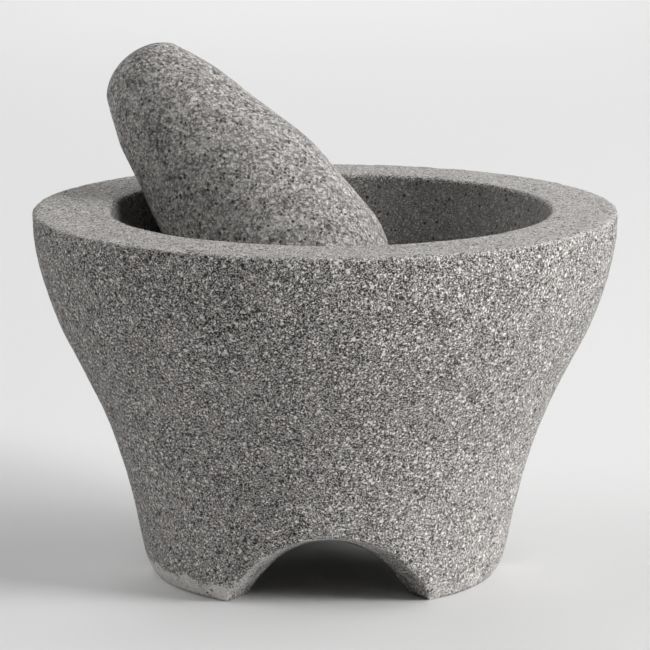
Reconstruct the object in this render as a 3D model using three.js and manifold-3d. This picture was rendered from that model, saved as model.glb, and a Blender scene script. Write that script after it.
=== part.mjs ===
// A molcajete: a mortar carved from one block of volcanic stone, and the stone
// pestle (tejolote) that leans in it. Millimetres, +Z up. The origin is the middle
// of the bowl on the surface that its three feet stand on, and -Y is the front.
import * as THREE from 'three';
import { mergeVertices } from 'three/addons/utils/BufferGeometryUtils.js';
import Module from 'manifold-3d';

// Bowl, outside
const BOWL_HEIGHT = 128;
const RIM_RADIUS = 101.6;
const RIM_EDGE_RADIUS = 1.5;
const BASE_RADIUS = 62.4;

// Bowl, grinding hollow: part of an ellipsoid whose middle is above the rim
const MOUTH_RADIUS = 76.4;
const MOUTH_LIP_RADIUS = 2.4;
const MOUTH_OFFSET_X = 1.8;
const HOLLOW_FLOOR_HEIGHT = 67.8;
const HOLLOW_CENTRE_HEIGHT = 140;

// Bowl, underside: a shallow recess, and three arches that leave three feet
const RECESS_RADIUS = 48;
const RECESS_HEIGHT = 29;
const ARCH_COUNT = 3;
const ARCH_TURN = THREE.MathUtils.degToRad(1.5);
const ARCH_HALF_ANGLE = THREE.MathUtils.degToRad(34.7);
const ARCH_HEIGHT = 26.7;
const ARCH_HEIGHT_RADIUS = 67.7;
const ARCH_ROOF_SLOPE = 0.29;
const ARCH_INNER_RADIUS = 25;
const ARCH_OUTER_RADIUS = 85;

// Pestle: its tip is the blunt round top, and its wide end grinds
const PESTLE_LENGTH = 134.3;
const PESTLE_RADIUS = 33.1;
const PESTLE_TIP_RADIUS = 19;
const PESTLE_TIP_DEPTH = 15;
const PESTLE_TIP_ARC_START = THREE.MathUtils.degToRad(32);
const PESTLE_GRINDING_DEPTH = 36;
const PESTLE_LEAN = THREE.MathUtils.degToRad(45);
const PESTLE_LEAN_DIRECTION = THREE.MathUtils.degToRad(150);
const PESTLE_TIP = new THREE.Vector3(-70.1, 48, 174.6);

// How far a cutter reaches past the face that it opens
const CUT_CLEARANCE = 5;

const BOWL_SEGMENTS = 72;
const PESTLE_SEGMENTS = 40;
const WELD_DISTANCE = 1e-4;

const wasm = await Module();
wasm.setup();

function weld(geometry) {
  geometry.deleteAttribute('normal');
  geometry.deleteAttribute('uv');
  return mergeVertices(geometry, WELD_DISTANCE);
}

function toSolid(geometry) {
  const welded = weld(geometry);
  const vertProperties = new Float32Array(welded.attributes.position.array);
  const triVerts = new Uint32Array(welded.index.array);
  return new wasm.Manifold(new wasm.Mesh({ numProp: 3, vertProperties, triVerts }));
}

function toGeometry(solid) {
  const mesh = solid.getMesh();
  const geometry = new THREE.BufferGeometry();
  geometry.setAttribute('position', new THREE.BufferAttribute(mesh.vertProperties, 3));
  geometry.setIndex(new THREE.BufferAttribute(mesh.triVerts, 1));
  geometry.computeVertexNormals();
  return geometry;
}

// Turns a profile of (radius, height) points about +Z.
function revolve(path, divisions, segments) {
  const points = path.getPoints(divisions);
  points[0].x = 0;
  points[points.length - 1].x = 0;
  const geometry = new THREE.LatheGeometry(points, segments);
  geometry.rotateX(Math.PI / 2);
  return geometry;
}

// The block before any hollow: a narrow base that flares out to an upright rim.
function bowlBlock() {
  const profile = new THREE.Path();
  profile.moveTo(0, 0);
  profile.lineTo(BASE_RADIUS, 0);
  profile.splineThru([
    new THREE.Vector2(64.3, 0.08 * BOWL_HEIGHT),
    new THREE.Vector2(67.5, 0.2 * BOWL_HEIGHT),
    new THREE.Vector2(71.5, 0.32 * BOWL_HEIGHT),
    new THREE.Vector2(77.4, 0.45 * BOWL_HEIGHT),
    new THREE.Vector2(85.3, 0.58 * BOWL_HEIGHT),
    new THREE.Vector2(93, 0.7 * BOWL_HEIGHT),
    new THREE.Vector2(98.3, 0.82 * BOWL_HEIGHT),
    new THREE.Vector2(101, 0.92 * BOWL_HEIGHT),
    new THREE.Vector2(RIM_RADIUS, BOWL_HEIGHT - RIM_EDGE_RADIUS),
  ]);
  profile.quadraticCurveTo(RIM_RADIUS, BOWL_HEIGHT, RIM_RADIUS - RIM_EDGE_RADIUS, BOWL_HEIGHT);
  profile.lineTo(0, BOWL_HEIGHT);
  return revolve(profile, 2, BOWL_SEGMENTS);
}

// The grinding hollow, with a softly rounded lip where it meets the flat rim.
function hollowCutter() {
  const depth = HOLLOW_CENTRE_HEIGHT - HOLLOW_FLOOR_HEIGHT;
  const lipStart = HOLLOW_CENTRE_HEIGHT - BOWL_HEIGHT + MOUTH_LIP_RADIUS;
  const radius = MOUTH_RADIUS / Math.sqrt(1 - (lipStart / depth) ** 2);
  const mouthAngle = -Math.asin(lipStart / depth);
  const top = BOWL_HEIGHT + CUT_CLEARANCE;
  const profile = new THREE.Path();
  profile.absellipse(0, HOLLOW_CENTRE_HEIGHT, radius, depth, -Math.PI / 2, mouthAngle);
  profile.quadraticCurveTo(MOUTH_RADIUS, BOWL_HEIGHT, MOUTH_RADIUS + MOUTH_LIP_RADIUS, BOWL_HEIGHT);
  profile.lineTo(MOUTH_RADIUS + MOUTH_LIP_RADIUS, top);
  profile.lineTo(0, top);
  const geometry = revolve(profile, 6, BOWL_SEGMENTS);
  geometry.translate(MOUTH_OFFSET_X, 0, 0);
  return geometry;
}

// The recess under the bowl: a short upright wall that rounds over into the roof.
function recessCutter() {
  const profile = new THREE.Path();
  profile.moveTo(0, -CUT_CLEARANCE);
  profile.lineTo(RECESS_RADIUS, -CUT_CLEARANCE);
  profile.lineTo(RECESS_RADIUS, 0);
  profile.lineTo(0.97 * RECESS_RADIUS, 0.45 * RECESS_HEIGHT);
  profile.quadraticCurveTo(0.94 * RECESS_RADIUS, 0.95 * RECESS_HEIGHT, 0.6 * RECESS_RADIUS, 0.97 * RECESS_HEIGHT);
  profile.lineTo(0, RECESS_HEIGHT);
  return revolve(profile, 3, BOWL_SEGMENTS);
}

// One arch: an outline 2 wide and 1 high runs straight out from the middle of the bowl
// and grows on its way, so that its sides are radial and its roof rises outwards.
function archCutter(turn) {
  const outline = new THREE.Shape();
  outline.moveTo(-1, -0.2);
  outline.lineTo(1, -0.2);
  outline.lineTo(1, 0);
  outline.bezierCurveTo(0.37, 4 / 3, -0.37, 4 / 3, -1, 0);
  const geometry = new THREE.ExtrudeGeometry(outline, { depth: 1, bevelEnabled: false, curveSegments: 24 });
  const position = geometry.attributes.position;
  for (let i = 0; i < position.count; i += 1) {
    const distance = THREE.MathUtils.lerp(ARCH_INNER_RADIUS, ARCH_OUTER_RADIUS, position.getZ(i));
    const halfWidth = distance * Math.tan(ARCH_HALF_ANGLE);
    const height = ARCH_HEIGHT + ARCH_ROOF_SLOPE * (distance - ARCH_HEIGHT_RADIUS);
    position.setXYZ(i, position.getX(i) * halfWidth, position.getY(i) * height, distance);
  }
  geometry.rotateX(Math.PI / 2);
  geometry.rotateZ(turn);
  return geometry;
}

function makeBowl() {
  let solid = toSolid(bowlBlock()).subtract(toSolid(hollowCutter()));
  solid = solid.subtract(toSolid(recessCutter()));
  for (let i = 0; i < ARCH_COUNT; i += 1) {
    const turn = ARCH_TURN + i * 2 * Math.PI / ARCH_COUNT;
    solid = solid.subtract(toSolid(archCutter(turn)));
  }
  const material = new THREE.MeshStandardMaterial({ color: 0x85827f, roughness: 0.95, metalness: 0 });
  const bowl = new THREE.Mesh(toGeometry(solid), material);
  bowl.name = 'bowl';
  return bowl;
}

// The pestle stands on its grinding end along +Z, with its tip at the top.
function pestleGeometry() {
  const tipCentre = PESTLE_LENGTH - PESTLE_TIP_DEPTH;
  const profile = new THREE.Path();
  profile.absellipse(0, PESTLE_GRINDING_DEPTH, PESTLE_RADIUS, PESTLE_GRINDING_DEPTH, -Math.PI / 2, 0);
  profile.splineThru([
    new THREE.Vector2(32.2, PESTLE_LENGTH - 70),
    new THREE.Vector2(29.7, PESTLE_LENGTH - 55),
    new THREE.Vector2(25.8, PESTLE_LENGTH - 40),
    new THREE.Vector2(22.6, PESTLE_LENGTH - 25),
    new THREE.Vector2(18.8, PESTLE_LENGTH - 14),
  ]);
  profile.absellipse(0, tipCentre, PESTLE_TIP_RADIUS, PESTLE_TIP_DEPTH, PESTLE_TIP_ARC_START, Math.PI / 2);
  return revolve(profile, 4, PESTLE_SEGMENTS);
}

function makePestle() {
  const geometry = weld(pestleGeometry());
  geometry.translate(0, 0, -PESTLE_LENGTH);
  geometry.computeVertexNormals();
  const material = new THREE.MeshStandardMaterial({ color: 0x8a8581, roughness: 0.95, metalness: 0 });
  const pestle = new THREE.Mesh(geometry, material);
  pestle.name = 'pestle';
  pestle.rotation.set(0, PESTLE_LEAN, PESTLE_LEAN_DIRECTION, 'ZYX');
  pestle.position.copy(PESTLE_TIP);
  return pestle;
}

const molcajete = new THREE.Group();
molcajete.add(makeBowl());
molcajete.add(makePestle());

export default molcajete;
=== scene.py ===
"""A molcajete: a carved volcanic stone mortar with its pestle, on a pale studio floor.

The bowl and the pestle are remade as fine meshes on the CAD frame: a smooth carved
shape, then a voxel remesh, then the marks of the stone itself (pits, chips, wear).
Metres throughout, +Z up, with the bowl's feet standing on Z = 0.
"""
import math

import bpy
import numpy as np
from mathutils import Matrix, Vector


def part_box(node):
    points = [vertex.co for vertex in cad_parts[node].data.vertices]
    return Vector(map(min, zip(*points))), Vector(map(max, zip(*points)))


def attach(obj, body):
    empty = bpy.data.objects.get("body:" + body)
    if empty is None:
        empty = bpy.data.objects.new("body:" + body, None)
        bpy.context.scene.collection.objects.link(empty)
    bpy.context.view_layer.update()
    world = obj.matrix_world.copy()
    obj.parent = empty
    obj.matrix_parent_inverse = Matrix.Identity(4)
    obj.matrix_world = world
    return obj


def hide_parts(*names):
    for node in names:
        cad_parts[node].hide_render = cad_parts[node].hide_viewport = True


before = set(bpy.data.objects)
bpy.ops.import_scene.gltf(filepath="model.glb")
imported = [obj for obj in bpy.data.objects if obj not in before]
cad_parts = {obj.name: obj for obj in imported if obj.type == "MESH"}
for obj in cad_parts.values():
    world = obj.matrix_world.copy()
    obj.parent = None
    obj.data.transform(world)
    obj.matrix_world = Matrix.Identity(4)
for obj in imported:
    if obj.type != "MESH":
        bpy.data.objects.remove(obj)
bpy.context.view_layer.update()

MM = 0.001

# ---------------------------------------------------------------- sizes from the frame
bowl_high = np.array(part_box("bowl")[1])
HEIGHT = bowl_high[2]
RIM = bowl_high[0]

# Outside of the bowl: (share of the height, share of the rim radius)
OUTER_WALL = (
    (0.036, 0.6225), (0.08, 0.633), (0.20, 0.664), (0.32, 0.704), (0.45, 0.762),
    (0.58, 0.840), (0.70, 0.915), (0.82, 0.9675), (0.92, 0.994),
)
FOOT = 0.614 * RIM
# The feet's lower edge is cut back: (inset, height) of its two corners
FOOT_BEVEL = ((-2.1 * MM, 0.0), (-1.0 * MM, 1.1 * MM))
RIM_EDGE = 1.1 * MM
MOUTH = 0.752 * RIM
MOUTH_LIP = 1.8 * MM
MOUTH_SHIFT = 1.8 * MM
HOLLOW_FLOOR = 0.530 * HEIGHT
HOLLOW_CENTRE = 1.094 * HEIGHT
RECESS = 0.4724 * RIM
RECESS_ROOF = 0.2266 * HEIGHT

ARCHES = 3
ARCH_TURN = math.radians(1.5)
ARCH_HALF_ANGLE = math.radians(34.7)
ARCH_HEIGHT = 26.7 * MM
ARCH_HEIGHT_AT = 67.7 * MM
ARCH_ROOF_SLOPE = 0.29
ARCH_SHOULDER = 0.37
ARCH_REACH = (25 * MM, 85 * MM)

# Pestle: (share of the length from the grinding end, radius in mm)
PESTLE_WALL = (
    (0.268, 32.9), (0.479, 31.9), (0.590, 29.5), (0.702, 25.8), (0.814, 22.6), (0.896, 18.6),
)
PESTLE_TIP_RADIUS = 18.5 * MM
PESTLE_TIP_DEPTH = 15 * MM
PESTLE_TIP_ARC = 32

BOWL_SEGMENTS = 240
PESTLE_SEGMENTS = 160
BOWL_VOXEL = 0.62 * MM
PESTLE_VOXEL = 0.5 * MM

# ---------------------------------------------------------------- marks on the stone
# Layers of noise: (depth in mm, wavelength in mm, seed)
BOWL_CARVING = ((0.22, 34, 1), (0.12, 13, 2))
BOWL_ROUGHNESS = ((0.075, 4.2, 3), (0.060, 1.9, 4))
PESTLE_CARVING = ((0.30, 30, 21), (0.16, 12, 22))
PESTLE_ROUGHNESS = ((0.060, 4.0, 23), (0.045, 1.8, 24))
# Stone rubbed off the whole pestle, in mm
PESTLE_WORN = 0.12

# Open pits: how far apart, in what share of places, how wide (radius), and the seed
BOWL_SMALL_PITS = {"spacing": 2.1 * MM, "share": 0.50, "radius": (0.55 * MM, 0.95 * MM), "seed": 5}
BOWL_LARGE_PITS = {"spacing": 5.2 * MM, "share": 0.40, "radius": (0.9 * MM, 1.7 * MM), "seed": 6}
PESTLE_SMALL_PITS = {"spacing": 2.3 * MM, "share": 0.36, "radius": (0.5 * MM, 0.85 * MM), "seed": 25}
PESTLE_LARGE_PITS = {"spacing": 5.6 * MM, "share": 0.34, "radius": (0.75 * MM, 1.2 * MM), "seed": 26}
# Depth in mm of a small and of a large pit
BOWL_PIT_DEPTHS = (0.20, 0.42)
PESTLE_PIT_DEPTHS = (0.15, 0.50)

# Chips along the bowl's edges: (wavelength in mm, seed) of the noise that breaks them up
CHIP_WAVES = ((5, 8), (2, 9))
CHIP_START = 0.1
CHIP_WIDTH = 1.3 * MM
RIM_CHIP_DEPTH = 1.0
ARCH_CHIP_DEPTH = 1.3

# The worn band round the bottom of the feet: its upper edge fades between two heights
FOOT_WEAR_EDGE = (7.4 * MM, 5.6 * MM)
FOOT_WEAR_WAVE = 1.8 * MM
FOOT_WEAR_DEPTH = 0.25
# Points lower than this are on the feet's flat soles, and keep their height
SOLE = 0.12 * MM

# What the bowl's worn zones take away from its carving, its roughness and its pits
FLATTENED = {"rim": 0.4}
SMOOTHED = {"rim": 0.55, "hollow": 0.3, "under": 0.35}
CLOSED = {"rim": 0.5, "under": 0.2}

# Zones of the bowl. Each fades in from the first value to the second one.
HOLLOW_ZONE = (1.2 * MM, -0.4 * MM)                     # distance outside the mouth
RIM_ZONE = (HEIGHT - 1.6 * MM, HEIGHT - 0.3 * MM)       # height
UNDER_ZONE = (0.5 * MM, 1.4 * MM)                       # distance in from the outer wall
# Painted shade: the stone deep in the recess under the bowl is darkened
RECESS_SHADE_ZONE = (12 * MM, 22 * MM)                          # distance in from the outer wall
# Painted light on the arch faces, fading in towards the outer wall
PAINTED_LIGHT_FACE_ZONE = (24 * MM, 12 * MM)                        # distance in from the outer wall
LOW_ZONE = (75 * MM, 5 * MM)                            # height
RIGHT_FOOT_ZONE = (-10 * MM, 30 * MM)                   # distance to the right

# The direction of the arch faces that get painted light: towards the lamps at the right and the lit floor
# in front
PAINTED_LIGHT_SIDE = (0.80, -0.45, -0.40)


# ---------------------------------------------------------------- small maths
def smoothstep(low, high, value):
    t = np.clip((value - low) / (high - low), 0, 1)
    return t * t * (3 - 2 * t)


def catmull_rom(points, steps):
    """Points along a uniform Catmull-Rom spline through the given ones."""
    p = np.array(points, float)
    p = np.vstack([2 * p[0] - p[1], p, 2 * p[-1] - p[-2]])
    t = np.linspace(0, 1, steps, endpoint=False)[:, None]
    curve = []
    for a, b, c, d in zip(p, p[1:], p[2:], p[3:]):
        curve.append(0.5 * (2 * b + (c - a) * t + (2 * a - 5 * b + 4 * c - d) * t**2
                            + (3 * b - a - 3 * c + d) * t**3))
    return np.vstack(curve + [p[-2:-1]])


def arc(centre, radii, start, end, steps):
    """Points along part of an ellipse, between two angles in degrees."""
    angle = np.radians(np.linspace(start, end, steps))
    return np.array(centre) + np.array(radii) * np.stack([np.cos(angle), np.sin(angle)], 1)


def hashed(cells, seed):
    """A repeatable whole number for each lattice cell."""
    with np.errstate(over="ignore"):
        h = cells[..., 0] * 73856093 ^ cells[..., 1] * 19349663 ^ cells[..., 2] * 83492791
        h = (h + seed * 2654435761) & 0xFFFFFFFF
        h = ((h ^ (h >> 15)) * 2246822519) & 0xFFFFFFFF
        h = ((h ^ (h >> 13)) * 3266489917) & 0xFFFFFFFF
    return h ^ (h >> 16)


def noise(points, wavelength, seed):
    """Gradient noise, roughly -1 to 1, that varies over one wavelength."""
    gradients = np.random.default_rng(7).normal(size=(256, 3))
    gradients /= np.linalg.norm(gradients, axis=1, keepdims=True)
    q = points / wavelength
    cell = np.floor(q).astype(np.int64)
    f = q - cell
    ease = f**3 * (f * (f * 6 - 15) + 10)
    total = np.zeros(len(points))
    for corner in np.ndindex(2, 2, 2):
        corner = np.array(corner)
        weight = np.prod(np.where(corner == 1, ease, 1 - ease), axis=1)
        g = gradients[hashed(cell + corner, seed) & 255]
        total += weight * np.einsum("ij,ij->i", g, f - corner)
    return 1.6 * total


def waves(points, layers):
    """Several layers of noise added up, in mm."""
    return sum(depth * noise(points, wavelength * MM, seed) for depth, wavelength, seed in layers)


def hollows(points, spacing, share, radius, seed):
    """0 to 1 inside scattered round hollows: one per lattice cell, for a share of cells."""
    cell = np.floor(points / spacing).astype(np.int64)
    deepest = np.zeros(len(points))
    for step in np.ndindex(3, 3, 3):
        near = cell + (np.array(step) - 1)
        h = hashed(near, seed)
        present = (h & 1023) < share * 1024
        jitter = np.stack([(h >> 4) & 255, (h >> 12) & 255, (h >> 20) & 255], 1) / 255
        size = radius[0] + (radius[1] - radius[0]) * ((h >> 7) & 63) / 63
        away = np.linalg.norm(points - (near + jitter) * spacing, axis=1) / size
        depth = np.where(present, np.clip(1 - away**2, 0, 1)**1.5, 0)
        deepest = np.maximum(deepest, depth)
    return deepest


# ---------------------------------------------------------------- mesh helpers
def mesh_object(name, points, faces):
    mesh = bpy.data.meshes.new(name)
    mesh.from_pydata([tuple(p) for p in points], [], faces)
    mesh.validate()
    obj = bpy.data.objects.new(name, mesh)
    bpy.context.scene.collection.objects.link(obj)
    return obj


def lathe(name, profile, segments):
    """Turns (radius, height) points about Z. The first and last lie on the axis."""
    angle = np.linspace(0, 2 * math.pi, segments, endpoint=False)
    rings = profile[1:-1]
    points = [(0, 0, profile[0][1])]
    for radius, height in rings:
        ring = np.stack([radius * np.cos(angle), radius * np.sin(angle), np.full(segments, height)], 1)
        points.extend(ring)
    points.append((0, 0, profile[-1][1]))
    last = len(points) - 1
    top = 1 + (len(rings) - 1) * segments
    faces = []
    for k in range(segments):
        after = (k + 1) % segments
        faces.append((0, 1 + after, 1 + k))
        for row in range(len(rings) - 1):
            a = 1 + row * segments
            b = a + segments
            faces.append((a + k, a + after, b + after, b + k))
        faces.append((top + k, top + after, last))
    return mesh_object(name, points, faces)


def apply_modifiers(obj):
    graph = bpy.context.evaluated_depsgraph_get()
    mesh = bpy.data.meshes.new_from_object(obj.evaluated_get(graph))
    obj.modifiers.clear()
    old = obj.data
    obj.data = mesh
    bpy.data.meshes.remove(old)


def cut(obj, cutter):
    """Takes the cutter's shape away from the object, and the cutter with it."""
    boolean = obj.modifiers.new("cut", "BOOLEAN")
    boolean.operation = "DIFFERENCE"
    boolean.solver = "EXACT"
    boolean.object = cutter
    apply_modifiers(obj)
    bpy.data.objects.remove(cutter)


def remesh(obj, voxel):
    """An even skin of fine quads over the same shape."""
    modifier = obj.modifiers.new("even", "REMESH")
    modifier.mode = "VOXEL"
    modifier.voxel_size = voxel
    modifier.use_smooth_shade = True
    apply_modifiers(obj)


def read_points(mesh):
    points = np.zeros(len(mesh.vertices) * 3)
    mesh.vertices.foreach_get("co", points)
    normals = np.zeros(len(mesh.vertices) * 3, np.float32)
    mesh.vertex_normals.foreach_get("vector", normals)
    return points.reshape(-1, 3), normals.reshape(-1, 3).astype(float)


def write_points(mesh, points):
    mesh.vertices.foreach_set("co", points.ravel())
    mesh.update()


def store(mesh, name, values):
    """Keeps a 0 to 1 value at each point, for the material to read."""
    layer = mesh.attributes.new(name, "FLOAT", "POINT")
    layer.data.foreach_set("value", np.clip(values, 0, 1).astype(np.float32))


# ---------------------------------------------------------------- the bowl's shape
def foot_bevel():
    """The outside of the feet just above the floor, cut back so that no sharp edge stands on it."""
    return [(FOOT + inset, z) for inset, z in FOOT_BEVEL]


def bowl_wall():
    """The flared outside of the bowl, from the feet's bevel to the rim's edge."""
    points = [(share * RIM, z * HEIGHT) for z, share in OUTER_WALL]
    return catmull_rom(points + [(RIM, HEIGHT - RIM_EDGE)], 6)


def wall_radius(height):
    """The outer radius at each height, from the feet's bevel to the rim."""
    curve = np.vstack([foot_bevel(), bowl_wall()])
    return np.interp(height, curve[:, 1], curve[:, 0])


def hollow_curve():
    """The grinding hollow, from its lip down to the middle of its floor."""
    depth = HOLLOW_CENTRE - HOLLOW_FLOOR
    rise = (HOLLOW_CENTRE - HEIGHT + MOUTH_LIP) / depth
    width = MOUTH / math.sqrt(1 - rise**2)
    start = -math.degrees(math.asin(rise))
    return arc((0, HOLLOW_CENTRE), (width, depth), start, -90, 48)


def bowl_profile():
    """The bowl's outline, from the recess under it round the outside and down into the hollow."""
    rim = arc((RIM - RIM_EDGE, HEIGHT - RIM_EDGE), (RIM_EDGE, RIM_EDGE), 0, 90, 5)
    lip = arc((MOUTH + MOUTH_LIP, HEIGHT - MOUTH_LIP), (MOUTH_LIP, MOUTH_LIP), 90, 180, 6)
    under = [(0, RECESS_ROOF), (0.6 * RECESS, 0.97 * RECESS_ROOF)]
    shoulder = arc((0.6 * RECESS, 0.45 * RECESS_ROOF), (0.37 * RECESS, 0.52 * RECESS_ROOF), 80, 0, 10)
    foot = [(RECESS, 0)] + foot_bevel()
    hollow = hollow_curve()[1:]
    hollow[-1, 0] = 0
    return np.vstack([under, shoulder, foot, bowl_wall(), rim[1:], lip, hollow])


def arch_turns():
    """The angle of each arch round the bowl, from the front."""
    return [ARCH_TURN + k * 2 * math.pi / ARCHES for k in range(ARCHES)]


def arch_height(distance):
    """The height of an arch at a distance from the bowl's axis."""
    return ARCH_HEIGHT + ARCH_ROOF_SLOPE * (distance - ARCH_HEIGHT_AT)


def arch_cutter(turn):
    """Half a pipe from the middle outwards, which widens and rises on its way."""
    t = np.linspace(1, 0, 40)
    across = (t**3 - (1 - t)**3) + 3 * t * (1 - t) * (2 * t - 1) * ARCH_SHOULDER
    up = 4 * t * (1 - t)
    outline = np.vstack([[-1, -0.3], [1, -0.3], np.stack([across, up], 1)])
    c, s = math.cos(turn), math.sin(turn)
    points = []
    for distance in ARCH_REACH:
        half = distance * math.tan(ARCH_HALF_ANGLE)
        height = arch_height(distance)
        for x, y in outline:
            px, py = x * half, -distance
            points.append((px * c - py * s, px * s + py * c, y * height))
    n = len(outline)
    faces = [tuple(range(n))[::-1], tuple(range(n, 2 * n))]
    for k in range(n):
        after = (k + 1) % n
        faces.append((k, after, n + after, n + k))
    return mesh_object("arch_cutter", points, faces)


# ---------------------------------------------------------------- the bowl's wear, and its painted light and shade
def bowl_regions(points):
    """How far each point belongs to the rim's top, the hollow and the arched underside."""
    x, y, z = points.T
    radius = np.hypot(x, y)
    from_mouth = np.hypot(x - MOUTH_SHIFT, y) - MOUTH
    hollow = smoothstep(*HOLLOW_ZONE, from_mouth) * (z > HOLLOW_FLOOR - 4 * MM)
    rim = smoothstep(*RIM_ZONE, z) * (1 - hollow)
    under = smoothstep(*UNDER_ZONE, wall_radius(z) - radius) * (z < RECESS_ROOF + 4 * MM)
    return {"rim": rim, "hollow": hollow, "under": under}


def arch_edges(points):
    """1 near the arches' walls, 0 away from them."""
    x, y, z = points.T
    near = np.zeros(len(points))
    for turn in arch_turns():
        c, s = math.cos(turn), math.sin(turn)
        across = x * c + y * s
        distance = x * s - y * c
        half = np.maximum(distance, 1 * MM) * math.tan(ARCH_HALF_ANGLE)
        share = z / arch_height(distance) + (across / half)**2
        near = np.maximum(near, smoothstep(1.22, 1.02, share) * (distance > 0) * (share > 0.8))
    return near


def inside_wall(points):
    """How far each point is from the outer wall, measured towards the axis."""
    return np.abs(wall_radius(points[:, 2]) - np.hypot(points[:, 0], points[:, 1]))


def chipping(points):
    """Depth in mm of the chips along the rim's outer edge and the arches' outer edges."""
    radius = np.hypot(points[:, 0], points[:, 1])
    broken = sum(np.clip(noise(points, wavelength * MM, seed) - CHIP_START, 0, 1)
                 for wavelength, seed in CHIP_WAVES)
    at_rim_edge = np.exp(-((radius - RIM)**2 + (points[:, 2] - HEIGHT)**2) / CHIP_WIDTH**2)
    at_arch_edge = np.exp(-(inside_wall(points) / CHIP_WIDTH)**2) * arch_edges(points)
    return (RIM_CHIP_DEPTH * at_rim_edge + ARCH_CHIP_DEPTH * at_arch_edge) * broken


def foot_wear(points):
    """1 on the worn band round the bottom of the feet, 0 above its wavy upper edge."""
    return smoothstep(*FOOT_WEAR_EDGE, points[:, 2] + FOOT_WEAR_WAVE * noise(points, 9 * MM, 10))


def wall_share(regions):
    """1 on the rough outer wall, 0 on the rim, in the hollow and under the bowl."""
    return 1 - np.maximum(np.maximum(regions["rim"], regions["hollow"]), regions["under"])


def kept(regions, losses):
    """What the worn zones leave: 1 where they take nothing away."""
    return 1 - sum(loss * regions[zone] for zone, loss in losses.items())


def bowl_relief(points, regions, small, large):
    """How far in mm each point of the smooth shape is moved out to make the stone."""
    relief = waves(points, BOWL_CARVING) * kept(regions, FLATTENED)
    relief += waves(points, BOWL_ROUGHNESS) * kept(regions, SMOOTHED)
    relief -= (BOWL_PIT_DEPTHS[0] * small + BOWL_PIT_DEPTHS[1] * large) * kept(regions, CLOSED)
    relief -= chipping(points)
    worn = FOOT_WEAR_DEPTH * foot_wear(points) * (0.6 + 0.8 * noise(points, 6 * MM, 11))
    return relief - worn * wall_share(regions)


def dust_and_painted_light_places(points, normals, under):
    """1 where the stone is made pale: painted light on the arch faces turned to the lamps, and dust on the
    bottom of the feet.
    """
    x = points[:, 0]
    # Painted light: arch faces in the recess, near the outer wall and turned to the lamps, are made paler
    facing_lamps = smoothstep(-0.1, 0.5, normals @ np.array(PAINTED_LIGHT_SIDE))
    near_wall = smoothstep(*PAINTED_LIGHT_FACE_ZONE, inside_wall(points))
    painted_light_faces = under * near_wall * facing_lamps * smoothstep(-0.9, 0.1, noise(points, 4 * MM, 13))
    # The dust is patchy, and there is more of it on the left foot than on the right one
    patches = smoothstep(-0.5, 0.0, 0.6 * noise(points, 11 * MM, 12) - 5 * x)
    dusty = foot_wear(points) * (1 - under) * patches * (1 - 0.45 * smoothstep(*RIGHT_FOOT_ZONE, x))
    return np.maximum(0.8 * painted_light_faces, dusty)


def weather_bowl(obj):
    """Gives the smooth bowl its rough surface, and marks its zones, with its painted light and shade, for
    the material.
    """
    mesh = obj.data
    points, normals = read_points(mesh)
    regions = bowl_regions(points)
    small = hollows(points, **BOWL_SMALL_PITS)
    large = hollows(points, **BOWL_LARGE_PITS)
    relief = bowl_relief(points, regions, small, large)
    moved = points + normals * (relief * MM)[:, None]
    on_sole = points[:, 2] < SOLE
    moved[on_sole, 2] = points[on_sole, 2]
    moved[:, 2] = np.maximum(moved[:, 2], 0)
    write_points(mesh, moved)

    under = regions["under"]
    store(mesh, "rim", regions["rim"])
    store(mesh, "hollow", regions["hollow"])
    store(mesh, "cut", under)
    store(mesh, "low", wall_share(regions) * smoothstep(*LOW_ZONE, points[:, 2]))
    # Dust on the bottom of the feet, and painted light on the arch faces turned to the lamps
    store(mesh, "dust_and_painted_light", dust_and_painted_light_places(points, normals, under))
    # Painted shade: darker stone deep in the recess under the bowl, where little light reaches
    store(mesh, "painted_recess_shade", under * smoothstep(*RECESS_SHADE_ZONE, inside_wall(points)))
    # The pits, which the material darkens with painted shade, less so in the hollow
    store(mesh, "pit", np.maximum(small * 0.8, large) * (1 - 0.35 * regions["hollow"]))


def make_bowl():
    bowl = lathe("mortar_stone", bowl_profile(), BOWL_SEGMENTS)
    points, _ = read_points(bowl.data)
    radius = np.hypot(points[:, 0], points[:, 1])
    inner = (points[:, 2] > HOLLOW_FLOOR - 1 * MM) & (radius < MOUTH + 1.5 * MOUTH_LIP)
    points[inner, 0] += MOUTH_SHIFT
    write_points(bowl.data, points)
    for turn in arch_turns():
        cut(bowl, arch_cutter(turn))
    remesh(bowl, BOWL_VOXEL)
    weather_bowl(bowl)
    return bowl


# ---------------------------------------------------------------- the pestle
def pestle_axis():
    """The grinding end and the tip of the CAD pestle: the ends of its long axis."""
    points, _ = read_points(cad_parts["pestle"].data)
    middle = points.mean(0)
    _, vectors = np.linalg.eigh(np.cov((points - middle).T))
    axis = vectors[:, -1] * np.sign(vectors[2, -1])
    along = (points - middle) @ axis
    return middle + axis * along.min(), middle + axis * along.max()


def pestle_profile(length):
    """The pestle's outline: an elliptical grinding end, the wall, and a blunt round tip."""
    wall = catmull_rom([(radius * MM, share * length) for share, radius in PESTLE_WALL], 8)
    depth = wall[0, 1]
    end = arc((0, depth), (wall[0, 0], depth), -90, 0, 24)[:-1]
    tip = arc((0, length - PESTLE_TIP_DEPTH), (PESTLE_TIP_RADIUS, PESTLE_TIP_DEPTH), PESTLE_TIP_ARC, 90, 16)
    profile = np.vstack([end, wall, tip])
    profile[0, 0] = 0
    profile[-1, 0] = 0
    return profile


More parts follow.
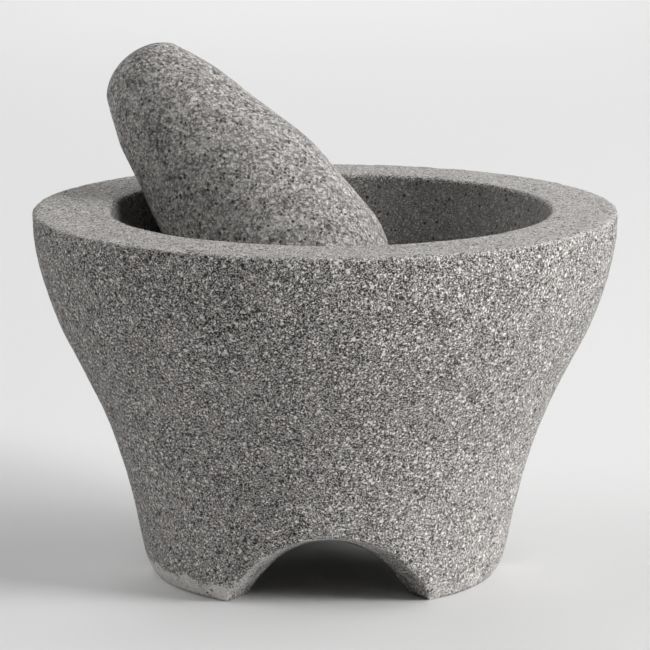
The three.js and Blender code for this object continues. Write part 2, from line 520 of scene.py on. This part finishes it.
def weather_pestle(obj):
    """Gives the smooth pestle its rough surface, and marks its pits for the material."""
    mesh = obj.data
    points, normals = read_points(mesh)
    small = hollows(points, **PESTLE_SMALL_PITS)
    large = hollows(points, **PESTLE_LARGE_PITS)
    relief = waves(points, PESTLE_CARVING) + waves(points, PESTLE_ROUGHNESS)
    relief -= PESTLE_PIT_DEPTHS[0] * small + PESTLE_PIT_DEPTHS[1] * large + PESTLE_WORN
    write_points(mesh, points + normals * (relief * MM)[:, None])
    # The pits, which the material darkens with painted shade
    store(mesh, "pit", np.maximum(small * 0.5, large * 1.3))


def make_pestle():
    end, tip = pestle_axis()
    length = float(np.linalg.norm(tip - end))
    pestle = lathe("pestle_stone", pestle_profile(length), PESTLE_SEGMENTS)
    points, _ = read_points(pestle.data)
    up = (tip - end) / length
    side = np.cross(up, (0, 0, 1.0))
    side /= np.linalg.norm(side)
    front = np.cross(side, up)
    write_points(pestle.data, end + points @ np.stack([side, front, up]))
    remesh(pestle, PESTLE_VOXEL)
    weather_pestle(pestle)
    return pestle


# ---------------------------------------------------------------- node trees
class Nodes:
    """A short way to write a node tree."""

    def __init__(self, material):
        material.use_nodes = True
        self.tree = material.node_tree
        self.tree.nodes.clear()

    def add(self, kind, inputs=None, **settings):
        made = self.tree.nodes.new("ShaderNode" + kind)
        for name, value in settings.items():
            setattr(made, name, value)
        for name, value in (inputs or {}).items():
            self.put(made.inputs[name], value)
        return made

    def put(self, socket, value):
        if isinstance(value, bpy.types.NodeSocket):
            self.tree.links.new(value, socket)
        else:
            socket.default_value = value

    def math(self, operation, a, b, clamp=False):
        return self.add("Math", {0: a, 1: b}, operation=operation, use_clamp=clamp).outputs[0]

    def plus(self, a, b):
        return self.math("ADD", a, b)

    def minus(self, a, b):
        return self.math("SUBTRACT", a, b)

    def times(self, a, b):
        return self.math("MULTIPLY", a, b)

    def larger(self, a, b):
        return self.math("MAXIMUM", a, b)

    def vector(self, operation, a, b):
        return self.add("VectorMath", {0: a, 1: b}, operation=operation).outputs[0]

    def scaled(self, vector, factor):
        return self.add("VectorMath", {0: vector, "Scale": factor}, operation="SCALE").outputs[0]

    def range(self, value, low, high, to_low=0.0, to_high=1.0):
        inputs = {"Value": value, "From Min": low, "From Max": high, "To Min": to_low, "To Max": to_high}
        return self.add("MapRange", inputs, interpolation_type="SMOOTHSTEP").outputs["Result"]

    def mix(self, share, a, b):
        made = self.add("Mix", {"Factor": share}, data_type="RGBA", blend_type="MIX")
        for name, value in (("A", a), ("B", b)):
            self.put(next(s for s in made.inputs if s.name == name and s.type == "RGBA"), value)
        return next(s for s in made.outputs if s.type == "RGBA")

    def ramp(self, value, stops):
        made = self.add("ValToRGB", {"Fac": value})
        elements = made.color_ramp.elements
        for _ in stops[2:]:
            elements.new(0.5)
        for element, (position, colour) in zip(elements, stops):
            element.position = position
            element.color = colour
        return made.outputs["Color"]

    def attribute(self, name):
        return self.add("Attribute", attribute_name=name).outputs["Fac"]


# ---------------------------------------------------------------- the stones' looks
def grey(level):
    """A stone grey, very slightly warm."""
    return (level * 1.035, level * 0.996, level * 0.960, 1)


# Sizes are in mm.
# grains: (size, weight, offset of the pattern); round: how dark a grain's edge is
# bend: how far the grains are bent out of shape; grit: strength of the fine noise
# lath: long pale crystals, (size, stretch, share of the cells)
# hole: fine holes, (size, share of the cells, edge)
# relief: height of the bumps; stops: (value, grey) from dark to light
# pale: strength of the crystals; crystal and shade: colours of the crystals and of the painted shade in the
# holes
# tones: what each zone adds to the tone; calm: how far each zone evens out the grain
# calm_tone: added to the tone where the grain is evened out; the right side's tone: painted light, added at
# the right, the side the lamps light
# the contrast of the grain at the left: raised as painted shade of the fine relief on the shaded side
BOWL_LOOK = {
    "grains": ((0.26, 1.60, 0.0), (0.42, 0.32, 31.0), (1.0, 0.07, 63.0)),
    "round": 0.5,
    "bend": 0.5,
    "grit": 0.32,
    "lath": (0.62, 2.3, 0.080),
    "hole": (1.5, 0.10, (0.50, 0.30)),
    "relief": 1.0,
    "stops": ((0.00, grey(0.018)), (0.28, grey(0.076)), (0.55, grey(0.186)), (0.80, grey(0.420)),
              (0.99, grey(0.770))),
    "pale": 1.0,
    "crystal": grey(0.95),
    "shade": grey(0.030),
    # The tones hold painted shade deep in the recess under the bowl, and painted light on the arch faces
    # along with the dust on the feet
    "tones": {"rim": 0.205, "hollow": -0.005, "dust_and_painted_light": 0.45, "low": 0.145, "painted_recess_shade": -0.36},
    "calm": {"rim": 0.42, "hollow": 0.72, "cut": 0.35, "dust_and_painted_light": 0.6},
    "calm_tone": 0.06,
    # Painted light: paler stone at the right, the side the lamps light
    "painted_light_right_tone": 0.058,
    # Painted shade: bolder grain on the shaded left side
    "painted_shade_contrast": 1.25,
}
PESTLE_LOOK = {
    "grains": ((0.36, 0.40, 5.0), (0.86, 0.44, 37.0), (1.7, 0.20, 69.0)),
    "round": 0.65,
    "bend": 0.3,
    "grit": 0.35,
    "lath": (0.90, 1.3, 0.05),
    "hole": (1.4, 0.13, (0.44, 0.34)),
    "relief": 0.7,
    "stops": ((0.05, grey(0.072)), (0.32, grey(0.202)), (0.55, grey(0.368)), (0.78, grey(0.600)),
              (0.98, grey(0.830))),
    "pale": 0.55,
    "crystal": grey(0.68),
    "shade": grey(0.030),
}
# The laths lie three ways, turned about one axis (radians)
LATH_TURNS = (0.0, 1.1, 2.3)
LATH_AXIS = (0.55, 0.62, 0.56)
LATH_EDGE = (0.50, 0.34)
# A few larger crystals are round
ROUND_SIZE = 1.9
ROUND_SHARE = 0.07
ROUND_EDGE = (0.44, 0.28)
ROUND_STRENGTH = 0.8
# Shares of the fine noise, of the grains and of the fine holes in the height of the bumps
GRIT_BUMP = 0.30
GRAIN_BUMP = 0.10
HOLE_BUMP = 0.30
# How dark the painted shade in the fine holes and the mesh's pits gets
HOLE_PAINTED_SHADE = 0.85
PIT_PAINTED_SHADE = 0.75
# Along X (mm), the bowl's bolder grain, painted shade of the fine relief on its shaded left side, fades
# out, and its paler right side, painted light, fades in
PAINTED_SHADE_CONTRAST_FADE = (-60.0, 40.0)
PAINTED_LIGHT_RIGHT_FADE = (10.0, 85.0)


# ---------------------------------------------------------------- the stone material
def stone_places(nodes, bend):
    """Places on the stone in mm, and the same places bent so that no grain has straight sides."""
    mm = nodes.scaled(nodes.add("TexCoord").outputs["Object"], 1 / MM)
    way = nodes.add("TexNoise", {"Vector": mm, "Scale": 0.8, "Detail": 2.0}).outputs["Color"]
    way = nodes.vector("SUBTRACT", way, (0.5, 0.5, 0.5))
    return mm, nodes.vector("ADD", mm, nodes.scaled(way, bend))


def fine_grit(nodes, mm):
    """Noise that is finer than the grains, darker below 0 and lighter above it."""
    noisy = nodes.add("TexNoise", {"Vector": mm, "Scale": 1.6, "Detail": 4.0, "Roughness": 0.75})
    return nodes.minus(noisy.outputs["Fac"], 0.5)


def slow_patches(nodes, mm):
    """Slow changes of tone across the stone."""
    noisy = nodes.add("TexNoise", {"Vector": mm, "Scale": 0.11, "Detail": 3.0})
    return nodes.times(nodes.minus(noisy.outputs["Fac"], 0.5), 0.35)


def cells(nodes, where, size, offset):
    """Irregular grains about size mm across: a random value for each, and the way from its middle."""
    at = nodes.vector("ADD", where, (offset, offset * 1.7, -offset))
    voronoi = nodes.add("TexVoronoi", {"Vector": at, "Scale": 1 / size, "Randomness": 1.0}, feature="F1")
    pick = nodes.add("SeparateColor", {"Color": voronoi.outputs["Color"]}).outputs["Red"]
    return pick, voronoi.outputs["Distance"]


def packed_grains(nodes, where, look):
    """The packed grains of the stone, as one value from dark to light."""
    grain = 0.0
    for size, weight, offset in look["grains"]:
        pick, away = cells(nodes, where, size, offset)
        pick = nodes.minus(pick, nodes.times(away, look["round"]))
        part = nodes.times(nodes.minus(pick, 0.5 - 0.48 * look["round"]), weight)
        grain = nodes.plus(part, grain)
    return grain


def blobs(nodes, where, size, offset, share, edge, fade=0.01):
    """1 in the middle of a cell, for a share of the cells. The edge fades between two distances."""
    pick, away = cells(nodes, where, size, offset)
    return nodes.times(nodes.range(pick, 1 - share, 1 + fade - share), nodes.range(away, *edge))


def crystals(nodes, where, look):
    """1 inside the pale crystals: long laths that lie three ways, and larger round ones."""
    size, stretch, share = look["lath"]
    pale = 0.0
    for k, turn in enumerate(LATH_TURNS):
        laid = nodes.add("VectorRotate", {"Vector": where, "Angle": turn, "Axis": LATH_AXIS}).outputs[0]
        laid = nodes.vector("MULTIPLY", laid, (1 / stretch, 1, 1))
        pale = nodes.larger(blobs(nodes, laid, size, 40.0 + 13.0 * k, share, LATH_EDGE), pale)
    round_one = blobs(nodes, where, ROUND_SIZE, 57.0, ROUND_SHARE, ROUND_EDGE)
    return nodes.larger(pale, nodes.times(round_one, ROUND_STRENGTH))


def fine_holes(nodes, where, look):
    """1 inside the holes that are too small for the mesh."""
    size, share, edge = look["hole"]
    return blobs(nodes, where, size, 109.0, share, edge, fade=0.02)


def bump_height(nodes, grit, grain, hole, relief):
    """The height of the surface that is too fine for the mesh, in mm."""
    height = nodes.plus(nodes.times(grit, GRIT_BUMP), nodes.times(grain, GRAIN_BUMP))
    height = nodes.minus(height, nodes.times(hole, HOLE_BUMP))
    return nodes.times(height, relief)


def calmness(nodes, look):
    """0 on the rough wall, up to 1 where the stone is worn or cut smooth."""
    calm = 0.0
    for zone, share in look["calm"].items():
        calm = nodes.larger(nodes.times(nodes.attribute(zone), share), calm)
    return calm


def zone_tone(nodes, along, calm, look):
    """What the bowl's zones, and the painted light on its right side, add to the tone of the grain."""
    # Painted light: the right of the bowl, the side the lamps light, is made paler
    tone = nodes.range(along, *PAINTED_LIGHT_RIGHT_FADE, 0.0, look["painted_light_right_tone"])
    tone = nodes.plus(tone, nodes.times(calm, look["calm_tone"]))
    for zone, share in look["tones"].items():
        tone = nodes.plus(tone, nodes.times(nodes.attribute(zone), share))
    return tone


def stone(name, look):
    """Fine volcanic stone: packed light and dark grains, pale crystals and small open pits."""
    material = bpy.data.materials.new(name)
    nodes = Nodes(material)
    mm, where = stone_places(nodes, look["bend"])
    grit = fine_grit(nodes, mm)
    grain = nodes.plus(packed_grains(nodes, where, look), nodes.times(grit, look["grit"]))
    grain = nodes.plus(grain, slow_patches(nodes, mm))
    pale = crystals(nodes, where, look)
    hole = fine_holes(nodes, where, look)
    height = bump_height(nodes, grit, grain, hole, look["relief"])

    if "tones" in look:
        along = nodes.add("SeparateXYZ", {"Vector": mm}).outputs["X"]
        calm = calmness(nodes, look)
        keep = nodes.math("SUBTRACT", 1.0, calm, clamp=True)
        # Painted shade: the grain's contrast is raised on the shaded left, for the shading of the stone's
        # fine relief
        grain = nodes.times(grain, nodes.range(along, *PAINTED_SHADE_CONTRAST_FADE, look["painted_shade_contrast"], 1.0))
        grain = nodes.plus(nodes.times(grain, keep), zone_tone(nodes, along, calm, look))
        pale = nodes.times(pale, keep)
        height = nodes.times(height, keep)

    colour = nodes.ramp(nodes.plus(grain, 0.5), look["stops"])
    colour = nodes.mix(nodes.times(pale, look["pale"]), colour, look["crystal"])
    # Painted shade in the fine holes and in the mesh's pits
    colour = nodes.mix(nodes.times(hole, HOLE_PAINTED_SHADE), colour, look["shade"])
    pit = nodes.range(nodes.attribute("pit"), 0.25, 0.9, 0, PIT_PAINTED_SHADE)
    colour = nodes.mix(pit, colour, look["shade"])
    bump = nodes.add("Bump", {"Strength": 1.0, "Distance": MM, "Height": height})
    shader = nodes.add("BsdfPrincipled", {
        "Base Color": colour,
        "Roughness": nodes.range(grain, -0.4, 0.4, 0.97, 0.84),
        "Normal": bump.outputs[0],
        "Specular IOR Level": 0.25,
    })
    nodes.add("OutputMaterial", {"Surface": shader.outputs[0]})
    return material


# ---------------------------------------------------------------- stage
FLOOR_GREY = (0.84, 0.84, 0.84)
SWEEP_HALF_WIDTH = 6.0
SWEEP_FRONT = -3.0
SWEEP_BACK = 2.2
SWEEP_BEND = 1.4
SWEEP_TOP = 4.0

# name: (azimuth in degrees from the front towards +X, elevation, distance, size, power in W)
LIGHTS = {
    "key": (65, 28, 2.2, (0.6, 0.6), 23.0),
    "key_side": (76, 18, 2.2, (0.6, 0.6), 6.1),
    "key_low": (77, 14, 2.2, (1.2, 0.9), 22.5),
    "key_behind": (105, 40, 2.2, (1.4, 1.4), 12.5),
    "back_low": (180, 25, 2.4, (1.4, 1.4), 13.9),
    "back_high": (-140, 50, 2.4, (1.4, 1.4), 7.4),
    "left_side": (-90, 32, 2.2, (1.4, 1.4), 5.4),
    "left_top": (-90, 60, 2.2, (1.4, 1.4), 6.6),
    "left_front": (-60, 32, 2.2, (1.4, 1.4), 4.6),
}
LIGHT_TARGET = np.array([0, 0, 0.5 * HEIGHT])
WORLD_LIGHT = 0.01

# The camera stands in front of the bowl and looks down (radians)
CAMERA_BACK = 1.2236
CAMERA_HEIGHT = 0.3279
CAMERA_DOWN = 0.195
CAMERA_LENS = 197.3
CAMERA_SENSOR = 36


def paper(colour, roughness):
    material = bpy.data.materials.new("paper")
    nodes = Nodes(material)
    shader = nodes.add("BsdfPrincipled", {
        "Base Color": colour + (1,),
        "Roughness": roughness,
        "Specular IOR Level": 0.2,
    })
    nodes.add("OutputMaterial", {"Surface": shader.outputs[0]})
    return material


def make_sweep():
    """A pale paper sweep: floor, a wide bend and a wall, in one sheet."""
    bend = arc((SWEEP_BACK, SWEEP_BEND), (SWEEP_BEND, SWEEP_BEND), -90, 0, 24)
    line = np.vstack([[SWEEP_FRONT, 0], bend, [SWEEP_BACK + SWEEP_BEND, SWEEP_TOP]])
    points = [(side * SWEEP_HALF_WIDTH, y, z) for y, z in line for side in (-1, 1)]
    faces = [(2 * k, 2 * k + 1, 2 * k + 3, 2 * k + 2) for k in range(len(line) - 1)]
    sweep = mesh_object("paper_sweep", points, faces)
    sweep.data.shade_smooth()
    sweep.data.materials.append(paper(FLOOR_GREY, 0.9))


def make_light(name, azimuth, elevation, distance, size, power):
    """A square or oblong lamp that faces the bowl."""
    a, e = math.radians(azimuth), math.radians(elevation)
    away = np.array([math.sin(a) * math.cos(e), -math.cos(a) * math.cos(e), math.sin(e)])
    data = bpy.data.lights.new(name, "AREA")
    data.shape = "RECTANGLE"
    data.size, data.size_y = size
    data.energy = power
    lamp = bpy.data.objects.new(name, data)
    bpy.context.scene.collection.objects.link(lamp)
    lamp.location = LIGHT_TARGET + away * distance
    lamp.rotation_euler = Vector(away).to_track_quat("Z", "Y").to_euler()


def make_world():
    world = bpy.data.worlds.new("studio")
    bpy.context.scene.world = world
    world.use_nodes = True
    background = world.node_tree.nodes["Background"]
    background.inputs["Color"].default_value = (1, 1, 1, 1)
    background.inputs["Strength"].default_value = WORLD_LIGHT


def make_camera():
    data = bpy.data.cameras.new("camera")
    data.lens = CAMERA_LENS
    data.sensor_width = CAMERA_SENSOR
    camera = bpy.data.objects.new("camera", data)
    bpy.context.scene.collection.objects.link(camera)
    camera.location = (0, -CAMERA_BACK, CAMERA_HEIGHT)
    camera.rotation_euler = (math.pi / 2 - CAMERA_DOWN, 0, 0)
    bpy.context.scene.camera = camera


# ---------------------------------------------------------------- build
def dress(obj, material):
    obj.data.materials.clear()
    obj.data.materials.append(material)


make_camera()
make_world()
for light, settings in LIGHTS.items():
    make_light(light, *settings)
make_sweep()
bpy.context.scene.view_settings.view_transform = "Standard"

bowl = make_bowl()
dress(bowl, stone("bowl_basalt", BOWL_LOOK))
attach(bowl, "bowl")
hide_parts("bowl")

pestle = make_pestle()
dress(pestle, stone("pestle_basalt", PESTLE_LOOK))
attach(pestle, "pestle")
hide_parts("pestle")
